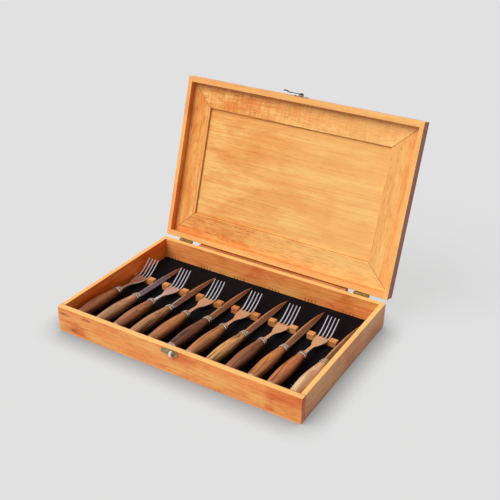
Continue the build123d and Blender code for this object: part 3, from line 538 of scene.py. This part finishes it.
def metal(name, colour, dull, roughness, cloud_scale, dull_share=0.5, scratch=0.00001, mask=None, masked=None,
          painted_highlight=None):
    """Metal whose colour and polish vary in soft patches, with fine scratches.

    A mask brings another colour, and painted_highlight is the (y, colour) in front of which the metal
    is brightened as a painted highlight.
    """
    material, tree, shader, place = new_material(name)
    clouds = tree.noise(place, cloud_scale, 4.0, 0.6, 0.3)
    patch = tree.spread(clouds, 0.42, 0.68, 0.0, dull_share)
    tone = tree.mix(patch, colour, dull)
    if mask:
        share = tree.node("ShaderNodeAttribute", {"attribute_name": mask}).outputs["Fac"]
        tone = tree.mix(share, tone, masked)
    # Painted highlight: the metal turns bright in front of a given y.
    if painted_highlight:
        front, bright = painted_highlight
        tone = tree.mix(tree.spread(tree.split(place)["Y"], front + 0.3 * MM, front), tone, bright)
    tree.feed(shader.inputs["Base Color"], tone)
    lines = tree.noise(tree.vector("MULTIPLY", place, (1400.0, 60.0, 200.0)), 1.0, 2.0, 0.6)
    polish = tree.math("ADD", roughness, tree.math("MULTIPLY", patch, 0.22))
    polish = tree.math("ADD", polish, tree.math("MULTIPLY", lines, 0.08))
    tree.feed(shader.inputs["Roughness"], polish)
    tree.feed(shader.inputs["Normal"], tree.bump(lines, scratch, 0.6))
    shader.inputs["Metallic"].default_value = 1.0
    return material


# Painted highlight on the keeper's staple: it begins this far in front of the front board.
KEEPER_HIGHLIGHT_FROM = 2.2 * MM
STEEL = metal("polished_steel", linear(228, 225, 236), linear(204, 199, 210), 0.27, 50.0, 0.4, 0.000002)
# Painted reflection: the blades' steel is darker and purpler, standing for the dark chest they mirror.
BLADE_STEEL = metal("blade_steel_painted_dark", linear(128, 110, 124), linear(98, 80, 88), 0.22, 60.0, 0.5, 0.000001,
                    mask="ground", masked=linear(226, 222, 218))
# Pewter, near black in its recesses: grime, and painted shade.
PEWTER = metal("pewter", linear(232, 216, 200), linear(162, 144, 130), 0.26, 260.0, 0.8,
               mask="recess", masked=linear(24, 17, 12))
BRASS = metal("aged_brass", linear(188, 158, 98), linear(122, 98, 56), 0.38, 320.0, 0.8)
NICKEL = metal("nickel_with_painted_highlight", linear(178, 164, 126), linear(104, 92, 62), 0.30, 300.0, 0.8,
               painted_highlight=(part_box("front_wall")[0].y - KEEPER_HIGHLIGHT_FROM, linear(250, 244, 228)))
BRONZE = metal("dark_bronze", linear(176, 168, 158), linear(98, 90, 80), 0.34, 360.0, 0.8)
BLACKENED = metal("blackened_steel", linear(96, 90, 86), linear(44, 38, 34), 0.32, 360.0, 0.8)


# ---------------------------------------------------------------------------- cutlery

HANDLE_TONES = {
    "fork_1": ((172, 104, 60), (90, 44, 26), 0.7),
    "knife_1": ((216, 164, 122), (118, 78, 52), 0.6),
    "fork_2": ((178, 116, 78), (92, 48, 30), 0.6),
    "knife_2": ((190, 136, 92), (58, 34, 24), 1.0),
    "fork_3": ((204, 134, 82), (116, 62, 34), 0.7),
    "knife_3": ((124, 74, 54), (50, 24, 18), 0.9),
    "fork_4": ((202, 134, 82), (96, 54, 34), 0.7),
    "knife_4": ((228, 170, 106), (92, 54, 32), 1.0),
    "fork_5": ((182, 116, 78), (80, 42, 30), 0.7),
    "knife_5": ((204, 134, 76), (116, 64, 34), 0.7),
    "fork_6": ((202, 124, 78), (92, 46, 28), 0.8),
    "knife_6": ((238, 206, 164), (180, 134, 96), 0.7),
}


def handle_wood(name, light, dark, streaks):
    """Oiled hardwood with dark streaks along the handle, painted shade down its flanks, and a soft shine."""
    material, tree, shader, place = new_material(f"{name}_wood")
    number = sorted(HANDLE_TONES).index(name)
    _, board = board_place(tree, place, turned=True, offset=(0.37 * number, 0.11 * number, 0.23))
    figure = use_group(tree, "wood_figure", Vector=board, Fineness=1.5, Waviness=1.8)
    light, dark = linear(*light), linear(*dark)
    middle = tuple(0.55 * a + 0.45 * b for a, b in zip(light, dark))
    veins = tree.noise(tree.vector("MULTIPLY", board, (9.0, 150.0, 150.0)), 1.0, 3.0, 0.6, 0.8)
    colour = tree.mix(tree.spread(figure["Clouds"], 0.38, 0.62), light, middle)
    colour = tree.mix(tree.spread(veins, 0.5, 0.62, 0.0, streaks), colour, dark)
    colour = tree.mix(tree.spread(figure["Grain"], 0.42, 0.62, 0.0, 0.4), colour, dark)
    # Painted shade: the wood darkens as its surface turns away from facing up.
    facing_up = tree.split(tree.node("ShaderNodeNewGeometry").outputs["Normal"])["Z"]
    colour = tree.mix(tree.spread(facing_up, 0.85, 0.15, 0.0, 0.75), colour, dark)
    tree.feed(shader.inputs["Base Color"], colour)
    tree.feed(shader.inputs["Roughness"], tree.spread(figure["Grain"], 0.2, 0.8, 0.34, 0.5))
    tree.feed(shader.inputs["Normal"], tree.bump(figure["Grain"], 0.0001, 0.4))
    shader.inputs["Specular IOR Level"].default_value = 0.35
    shader.inputs["Coat Weight"].default_value = 0.1
    shader.inputs["Coat Roughness"].default_value = 0.2
    return material


HANDLE_AROUND = 48
BUTT_RADIUS = 8.0 * MM
NECK_RADIUS = 6.9 * MM


def make_handle(axes):
    """Oval rings from butt to neck: width and depth follow smooth lines through six stations."""
    solid = corners(f"{axes.name}_handle") - axes.butt
    swell = np.abs(solid @ axes.across).max()
    flat = np.abs(solid @ axes.up).max() / swell
    share = np.linspace(0, 1, 44)
    stations = (0, 0.2, 0.45, 0.72, 0.9, 1)
    width = smooth_line(share, stations, (BUTT_RADIUS, 0.45 * BUTT_RADIUS + 0.55 * swell, swell,
                                          0.7 * swell + 0.3 * NECK_RADIUS, 0.25 * swell + 0.75 * NECK_RADIUS,
                                          NECK_RADIUS))
    depth = width * smooth_line(share, stations, (1, (1 + flat) / 2, flat, flat, (1 + flat) / 2, 1))
    turn = np.linspace(0, 2 * math.pi, HANDLE_AROUND, endpoint=False)
    along = axes.cap_end + share * (axes.neck - axes.cap_end)
    across, up = width[:, None] * np.cos(turn), depth[:, None] * np.sin(turn)
    rings = np.stack([across, along[:, None] + 0 * turn, up], -1)
    piece = tube(f"{axes.name}_turned_handle", rings, axes, handle_wood(axes.name, *HANDLE_TONES[axes.name]))
    keep(piece, axes.name, f"{axes.name}_wood", f"{axes.name}_handle")


FERRULE_PROFILE = (  # share of the ferrule's length, radius in mm, and how deep in a recess
    (0.000, 6.0, 1.0), (0.040, 6.6, 0.9), (0.090, 7.50, 0.0), (0.150, 7.80, 0.0), (0.210, 7.8, 0.0),
    (0.260, 7.5, 0.0), (0.290, 6.6, 0.8), (0.310, 5.9, 1.0), (0.420, 5.9, 1.0), (0.440, 6.4, 0.8),
    (0.480, 7.1, 0.0), (0.530, 7.2, 0.0), (0.580, 7.1, 0.0), (0.610, 6.6, 0.6), (0.630, 5.4, 1.0),
    (0.750, 4.8, 1.0), (0.780, 4.90, 0.3), (0.900, 4.80, 0.2), (0.950, 4.5, 0.3), (1.000, 3.9, 0.6),
)
KNIFE_FERRULE_PROFILE = FERRULE_PROFILE[:13] + (
    (0.600, 6.3, 0.8), (0.620, 5.2, 1.0), (0.710, 5.1, 1.0), (0.730, 6.0, 0.7), (0.770, 6.4, 0.0),
    (0.830, 6.5, 0.0), (0.870, 6.2, 0.2), (0.890, 5.3, 1.0), (0.930, 4.5, 1.0), (1.000, 4.2, 1.0),
)
CAP_PROFILE = (  # share of the cap's length, radius in mm, and recess
    (0.000, 1.5, 0.0), (0.040, 4.0, 0.0), (0.110, 6.0, 0.0), (0.230, 7.5, 0.0), (0.400, 8.15, 0.0),
    (0.500, 8.2, 0.0), (0.580, 8.2, 0.0), (0.610, 7.9, 1.0), (0.640, 7.9, 1.0), (0.670, 8.25, 0.1),
    (0.800, 8.4, 0.0), (0.950, 8.45, 0.0), (0.985, 8.3, 0.5), (1.000, 7.6, 1.0),
)
CAP_LAP = 3.0 * MM
FITTING_AROUND = 56


def make_turned_fitting(axes, name, start, end, shape):
    """A turned metal form: the profile carried once round the centre line; grime and painted shade in
    recesses.
    """
    share, radius, recess = np.array(shape).T
    profile = np.stack([start + share * (end - start), radius * MM], axis=-1)
    piece = tube(f"{axes.name}_{name}", turned_rings(profile, FITTING_AROUND), axes, PEWTER)
    depth = np.concatenate([np.repeat(recess, FITTING_AROUND), [0.0, 0.0]]).astype(np.float32)
    piece.data.attributes.new("recess", "FLOAT", "POINT").data.foreach_set("value", depth)
    keep(piece, axes.name, "pewter", f"{axes.name}_fittings")


BLADE_AROUND = 40
SPINE_THICKNESS = 2.2 * MM
EDGE_THICKNESS = 0.3 * MM
TIP_SHARE = 0.45


def make_blade(axes):
    """Wedge rings from heel to point: the edge bulges to one side and the spine runs straight, then drops."""
    half = np.abs((corners(f"{axes.name}_blade") - axes.butt) @ axes.across).max()
    share = np.concatenate([np.linspace(0, 0.8, 34), np.linspace(0.8, 1, 23)[1:]])
    edge = smooth_line(share, (0, 0.4, 0.7, 0.9, 1), (-0.84, -1.0, -0.84, -0.4, 0.12)) * half
    spine = smooth_line(share, (0, 0.5, 0.8, 1), (0.86, 0.82, 0.6, 0.16)) * half
    thin = 1 - (1 - TIP_SHARE) * share
    turn = np.linspace(0, 2 * math.pi, BLADE_AROUND, endpoint=False)
    out = np.sign(np.cos(turn)) * np.abs(np.cos(turn)) ** 0.35
    lift = np.sign(np.sin(turn)) * np.abs(np.sin(turn)) ** 0.5
    across = (spine + edge)[:, None] / 2 + (spine - edge)[:, None] / 2 * out
    toward_spine = np.clip((out + 1) / 2, 0, 1) ** 0.8
    thickness = EDGE_THICKNESS + (SPINE_THICKNESS - EDGE_THICKNESS) * toward_spine
    along = axes.heel + share * (axes.tip - axes.heel)
    rings = np.stack([across, along[:, None] + 0 * turn, thin[:, None] * thickness / 2 * lift], -1)
    piece = tube(f"{axes.name}_ground_blade", rings, axes, BLADE_STEEL)
    near_edge = np.clip((-0.5 - out) / 0.3, 0, 1)[None, :] * np.clip(share / 0.1, 0, 1)[:, None]
    ground = np.concatenate([near_edge.ravel(), [0.0, 1.0]]).astype(np.float32)
    piece.data.attributes.new("ground", "FLOAT", "POINT").data.foreach_set("value", ground)
    keep(piece, axes.name, "polished_steel", f"{axes.name}_blade")


SHANK_LENGTH = 28.0 * MM
PALM_LENGTH = 34.0 * MM
SHANK_HALF = 3.4 * MM
SHANK_THICKNESS = 3.0 * MM
HEAD_THICKNESS = 1.9 * MM
TINE_COUNT = 4
TINE_ROOT_WIDTH = 3.0 * MM
TINE_TIP_WIDTH = 1.9 * MM
ROUNDING_ALLOWANCE = 0.84
BOWL_DROP = 4.2 * MM
BOWL_SHARE = 0.88
TINE_RISE = 22.0 * MM
PALM_DISH = 0.9 * MM
SLOT_DEPTH = 2.2 * MM


def fork_columns(head_half):
    """Where the grid's columns cross the tine roots and tips, and which faces lie in the slots."""
    pitch = (2 * head_half - TINE_ROOT_WIDTH) / (TINE_COUNT - 1)
    roots, tips, in_slot = [], [], []
    for i in range(TINE_COUNT):
        middle = (i - (TINE_COUNT - 1) / 2) * pitch
        for share in (-0.5, -0.17, 0.17, 0.5):
            roots.append(middle + share * TINE_ROOT_WIDTH * ROUNDING_ALLOWANCE)
            tips.append(middle + share * TINE_TIP_WIDTH * ROUNDING_ALLOWANCE)
        in_slot += [False, False, False]
        if i < TINE_COUNT - 1:
            roots.append(middle + pitch / 2)
            tips.append(middle + pitch / 2)
            in_slot += [True, True]
    return np.array(roots), np.array(tips), np.array(in_slot)


def make_fork_head(axes):
    """A grid over shank, palm and tines, bent to the fork's side line, without the faces in its slots."""
    solid = corners(f"{axes.name}_head") - axes.butt
    head_half = np.abs(solid @ axes.across).max()
    root = axes.heel
    palm = root + SHANK_LENGTH
    tine = palm + PALM_LENGTH
    tip = axes.tip
    rows = np.concatenate([
        np.linspace(root - 1.5 * MM, palm, 9)[:-1], np.linspace(palm, tine, 12)[:-1],
        tine + (tip - tine) * np.array([0.0, 0.06, 0.2, 0.4, 0.6, 0.8, 0.94, 1.0]),
    ])
    roots, tips, in_slot = fork_columns(head_half)
    outline = smooth_line(np.clip(rows, root, tine),
                          (root, (root + palm) / 2, palm - 0.1 * SHANK_LENGTH, palm + 0.32 * PALM_LENGTH,
                           palm + 0.68 * PALM_LENGTH, tine),
                          (SHANK_HALF, 0.84 * SHANK_HALF, SHANK_HALF, 0.74 * head_half, 0.97 * head_half,
                           head_half))
    outline = np.minimum(outline, head_half)
    taper = np.clip((rows - tine) / (tip - tine), 0, 1)[:, None]
    across = (roots * (1 - taper) + tips * taper) * (outline / head_half)[:, None]
    along = np.repeat(rows[:, None], len(roots), axis=1)
    first_tine_row = int(np.searchsorted(rows, tine - 1e-6))
    slot_middle = np.flatnonzero(in_slot[:-1] & in_slot[1:]) + 1
    along[first_tine_row, slot_middle] -= SLOT_DEPTH
    along[first_tine_row - 1, slot_middle] -= 0.4 * SLOT_DEPTH
    side_line = smooth_line(rows,
                            (root, root + 0.5 * SHANK_LENGTH, palm, palm + 0.5 * PALM_LENGTH,
                             palm + BOWL_SHARE * PALM_LENGTH, tine + 0.12 * (tip - tine),
                             tine + 0.55 * (tip - tine), tip),
                            (0, -0.14 * BOWL_DROP, -0.5 * BOWL_DROP, -0.88 * BOWL_DROP, -BOWL_DROP,
                             -0.82 * BOWL_DROP, 0.42 * TINE_RISE - BOWL_DROP, TINE_RISE - BOWL_DROP))
    dish = smooth_line(rows, (root, palm, palm + 0.6 * PALM_LENGTH, tine, tip), (0, 0, 1, 1, 0.6)) * PALM_DISH
    up = side_line[:, None] + dish[:, None] * (across / head_half) ** 2
    points = axes.place(np.stack([across, along, up], axis=-1).reshape(-1, 3))
    kept = np.ones((len(rows) - 1, len(roots) - 1), bool)
    kept[first_tine_row:, in_slot] = False
    row, column = np.nonzero(kept)
    corner = row * len(roots) + column
    faces = np.stack([corner, corner + 1, corner + len(roots) + 1, corner + len(roots)], axis=-1)
    piece = make_piece(f"{axes.name}_forged_head", points, faces.tolist(), STEEL)
    thick = np.interp(rows, (root, palm, tine, tip), (SHANK_THICKNESS, 2.5 * MM, HEAD_THICKNESS, 1.3 * MM))
    thick = np.repeat(thick / SHANK_THICKNESS, len(roots))
    group = piece.vertex_groups.new(name="thickness")
    for index, weight in enumerate(thick.tolist()):
        group.add([index], weight, "REPLACE")
    solidify = piece.modifiers.new("thickness", "SOLIDIFY")
    solidify.thickness = SHANK_THICKNESS
    solidify.offset = 0.0
    solidify.vertex_group = "thickness"
    rounded = piece.modifiers.new("rounded", "SUBSURF")
    rounded.levels = rounded.render_levels = 2
    keep(piece, axes.name, "polished_steel", f"{axes.name}_head")


def make_cutlery():
    """Six forks and six knives, each a steel head or blade, a wooden handle and two pewter fittings."""
    for number in range(1, PAIRS + 1):
        for kind, make_steel in (("fork", make_fork_head), ("knife", make_blade)):
            axes = Axes(f"{kind}_{number}")
            make_handle(axes)
            ferrule = FERRULE_PROFILE if kind == "fork" else KNIFE_FERRULE_PROFILE
            make_turned_fitting(axes, "ferrule", axes.neck, axes.heel, ferrule)
            make_turned_fitting(axes, "butt_cap", 0.0, axes.cap_end + CAP_LAP, CAP_PROFILE)
            make_steel(axes)


# ---------------------------------------------------------------------------- lining

LINING_ROLL = 1.6 * MM
LINING_STEP = 3.0 * MM
FELT_WAVE = 0.12 * MM
KNIFE_SLOT_LEAST = 18.0 * MM
KNIFE_SLOT_MOST = 23.0 * MM


def felt():
    """Black wool felt: a soft nap, faint flecks of lint and a sheen at low angles."""
    material, tree, shader, place = new_material("black_felt_nap")
    nap = tree.noise(place, 2600.0, 3.0, 0.7)
    patches = tree.noise(place, 26.0, 3.0, 0.6)
    colour = tree.mix(tree.spread(nap, 0.3, 0.75), linear(9, 8, 10), linear(22, 19, 23))
    colour = tree.mix(tree.spread(patches, 0.4, 0.7, 0.0, 0.3), colour, linear(30, 25, 26))
    lint = tree.spread(tree.noise(place, 900.0, 1.0), 0.79, 0.83, 0.0, 0.4)
    colour = tree.mix(lint, colour, linear(80, 74, 70))
    tree.feed(shader.inputs["Base Color"], colour)
    shader.inputs["Roughness"].default_value = 0.95
    shader.inputs["Specular IOR Level"].default_value = 0.05
    shader.inputs["Sheen Weight"].default_value = 0.02
    shader.inputs["Sheen Roughness"].default_value = 0.5
    tree.feed(shader.inputs["Normal"], tree.bump(nap, 0.0003, 0.7))
    return material


def comb_blocks():
    """The (low, high) x of each block of the comb that stands through the lining."""
    comb = corners("divider_comb")
    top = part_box("floor_lining")[1].z
    xs = np.unique(comb[comb[:, 2] > top + MM][:, 0].round(5))
    wide = np.diff(xs)
    gaps = np.flatnonzero((wide > KNIFE_SLOT_LEAST) & (wide < KNIFE_SLOT_MOST))
    lows = np.concatenate([xs[:1], xs[gaps + 1]])
    highs = np.concatenate([xs[gaps], xs[-1:]])
    return list(zip(lows, highs))


def lining_stations(low, high, edges):
    """Grid lines between two ends, packed close beside each edge so that the felt can roll down there."""
    plain = np.arange(low, high, LINING_STEP)
    shifts = [side * share * LINING_ROLL for side in (-1, 1) for share in (0, 0.12, 0.4, 1)]
    near = [edge + shift for edge in edges for shift in shifts]
    near = np.array([x for x in near if low <= x <= high])
    plain = plain[np.abs(plain[:, None] - near[None, :]).min(axis=1) > 0.4 * LINING_STEP]
    return np.unique(np.concatenate([plain, near]).round(6))


def make_lining():
    """A pad whose top rolls down in a quarter circle at the walls and round the comb's blocks."""
    (low, high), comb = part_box("floor_lining"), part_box("divider_comb")
    blocks = comb_blocks()
    xs = lining_stations(low.x, high.x, [low.x, high.x] + [x for block in blocks for x in block])
    ys = lining_stations(low.y, high.y, [low.y, high.y, comb[0].y, comb[1].y])
    x, y = np.meshgrid(xs, ys, indexing="ij")
    edge = np.minimum(np.minimum(x - low.x, high.x - x), np.minimum(y - low.y, high.y - y))
    inside = np.zeros((len(xs) - 1, len(ys) - 1), bool)
    middle_x = (xs[1:] + xs[:-1])[:, None] / 2
    middle_y = (ys[1:] + ys[:-1])[None, :] / 2
    for left, right in blocks:
        beside = np.hypot(np.maximum(np.maximum(left - x, x - right), 0),
                          np.maximum(np.maximum(comb[0].y - y, y - comb[1].y), 0))
        edge = np.minimum(edge, beside)
        inside |= ((middle_x > left) & (middle_x < right) & (middle_y > comb[0].y) & (middle_y < comb[1].y))
    away = np.clip(1 - edge / LINING_ROLL, 0, 1)
    wave = np.sin(61 * x + 3 * np.sin(23 * y)) * np.sin(47 * y + 2 * np.sin(31 * x))
    top = high.z - LINING_ROLL * (1 - np.sqrt(1 - 0.98 * away**2)) - FELT_WAVE * (0.5 + 0.5 * wave)
    points = np.stack([x, y, top], axis=-1).reshape(-1, 3)
    row, column = np.nonzero(~inside)
    corner = row * len(ys) + column
    faces = np.stack([corner, corner + len(ys), corner + len(ys) + 1, corner + 1], axis=-1)
    piece = make_piece("felt_lining", points, faces.tolist(), felt())
    solidify = piece.modifiers.new("board", "SOLIDIFY")
    solidify.thickness = high.z - low.z - LINING_ROLL - FELT_WAVE
    solidify.offset = -1.0
    keep(piece, "base", "black_felt", "floor_lining")


def dress_hardware():
    """Hinges in aged brass, latch plate in bronze, its hook blackened, keeper in nickel with a painted
    highlight.
    """
    finishes = (
        (BRASS, ("hinge_base_leaves", "hinge_lid_leaves", "hinge_pins")),
        (BRONZE, ("latch_plate",)),
        (BLACKENED, ("latch_hook", "lid_fasteners")),
        (NICKEL, ("keeper_plate", "base_fasteners")),
    )
    for material, nodes in finishes:
        for node in nodes:
            mesh = frame["nodes"][node].data
            mesh.materials.clear()
            mesh.materials.append(material)


# ---------------------------------------------------------------------------- stage, light and camera

BACKGROUND = 0.76
FLOOR_HALF = 12.0
FLOOR_TONE = 0.70
FLOOR_BOUNCE = 0.42
FLOOR_GLOW = 0.84
CONTACT_REACH = 0.045
CONTACT_DEPTH = 1.3
SKY_LEVEL = 0.31
KEY_LEVEL = 2.95
KEY_WIDTH = math.radians(44)
KEY_FROM = Vector((-0.38, -0.52, 0.77))


def looked_at(tree):
    """Whether a ray comes from the camera, from a reflection or through glass, and not from lighting."""
    rays = tree.node("ShaderNodeLightPath").outputs
    seen = tree.math("MAXIMUM", rays["Is Camera Ray"], rays["Is Glossy Ray"])
    return tree.math("MAXIMUM", seen, rays["Is Transmission Ray"])


def make_floor():
    """A wide pale floor that glows where it is seen, and less so near the chest, for a soft shadow."""
    mesh = bpy.data.meshes.new("floor")
    corners_at = [(-FLOOR_HALF, -FLOOR_HALF, 0), (FLOOR_HALF, -FLOOR_HALF, 0),
                  (FLOOR_HALF, FLOOR_HALF, 0), (-FLOOR_HALF, FLOOR_HALF, 0)]
    mesh.from_pydata(corners_at, [], [(0, 1, 2, 3)])
    floor = bpy.data.objects.new("floor", mesh)
    bpy.context.scene.collection.objects.link(floor)
    material = bpy.data.materials.new("pale_floor")
    material.use_nodes = True
    material.node_tree.nodes.clear()
    tree = Tree(material.node_tree)
    seen = looked_at(tree)
    bounce = (FLOOR_BOUNCE, FLOOR_BOUNCE, FLOOR_BOUNCE, 1.0)
    tone = tree.mix(seen, bounce, (FLOOR_TONE, FLOOR_TONE, FLOOR_TONE, 1.0))
    matt = tree.node("ShaderNodeBsdfDiffuse", Color=tone).outputs[0]
    open_sky = tree.node("ShaderNodeAmbientOcclusion", {"samples": 4}, Distance=CONTACT_REACH).outputs["AO"]
    level = tree.math("MULTIPLY", tree.math("POWER", open_sky, CONTACT_DEPTH), BACKGROUND)
    glow = tree.node("ShaderNodeEmission", Strength=level).outputs[0]
    both = tree.node("ShaderNodeMixShader")
    for socket, value in zip(both.inputs, (tree.math("MULTIPLY", seen, FLOOR_GLOW), matt, glow)):
        tree.feed(socket, value)
    tree.feed(tree.node("ShaderNodeOutputMaterial").inputs["Surface"], both.outputs[0])
    mesh.materials.append(material)


def light_stage():
    """An even pale surround and one broad key light from the upper left front."""
    world = bpy.data.worlds.new("surround")
    bpy.context.scene.world = world
    world.use_nodes = True
    world.node_tree.nodes.clear()
    tree = Tree(world.node_tree)
    level = tree.node("ShaderNodeMix", {"data_type": "FLOAT"}, Factor=looked_at(tree), A=SKY_LEVEL,
                      B=BACKGROUND).outputs[0]
    background = tree.node("ShaderNodeBackground", Strength=level).outputs[0]
    background.node.inputs["Color"].default_value = (1.0, 1.0, 1.0, 1.0)
    tree.feed(tree.node("ShaderNodeOutputWorld").inputs["Surface"], background)
    key = bpy.data.lights.new("key", "SUN")
    key.energy = KEY_LEVEL
    key.angle = KEY_WIDTH
    lamp = bpy.data.objects.new("key", key)
    lamp.visible_glossy = False
    lamp.rotation_euler = KEY_FROM.to_track_quat("Z", "Y").to_euler()
    bpy.context.scene.collection.objects.link(lamp)


CAMERA_AT = Vector((0.60758, -0.95999, 0.75437))
CAMERA_TURN = math.radians(30.26)
CAMERA_DIP = math.radians(28.20)
CAMERA_ROLL = math.radians(1.24)
FOCAL_LENGTH = 59.93
SENSOR_WIDTH = 36.0


def make_camera():
    """The camera, aimed by how far it turns about the chest, dips and rolls."""
    camera = bpy.data.cameras.new("camera")
    camera.sensor_fit = "HORIZONTAL"
    camera.sensor_width = SENSOR_WIDTH
    camera.lens = FOCAL_LENGTH
    camera.clip_start = 0.05
    seat = bpy.data.objects.new("camera", camera)
    bpy.context.scene.collection.objects.link(seat)
    turned_to = Matrix.Rotation(CAMERA_TURN, 4, "Z")
    dipped = Matrix.Rotation(math.pi / 2 - CAMERA_DIP, 4, "X")
    rolled = Matrix.Rotation(CAMERA_ROLL, 4, "Z")
    seat.matrix_world = Matrix.Translation(CAMERA_AT) @ turned_to @ dipped @ rolled
    bpy.context.scene.camera = seat


dress_boards()
dress_hardware()
make_cutlery()
make_lining()
make_floor()
light_stage()
make_camera()
bpy.context.scene.view_settings.view_transform = "Standard"
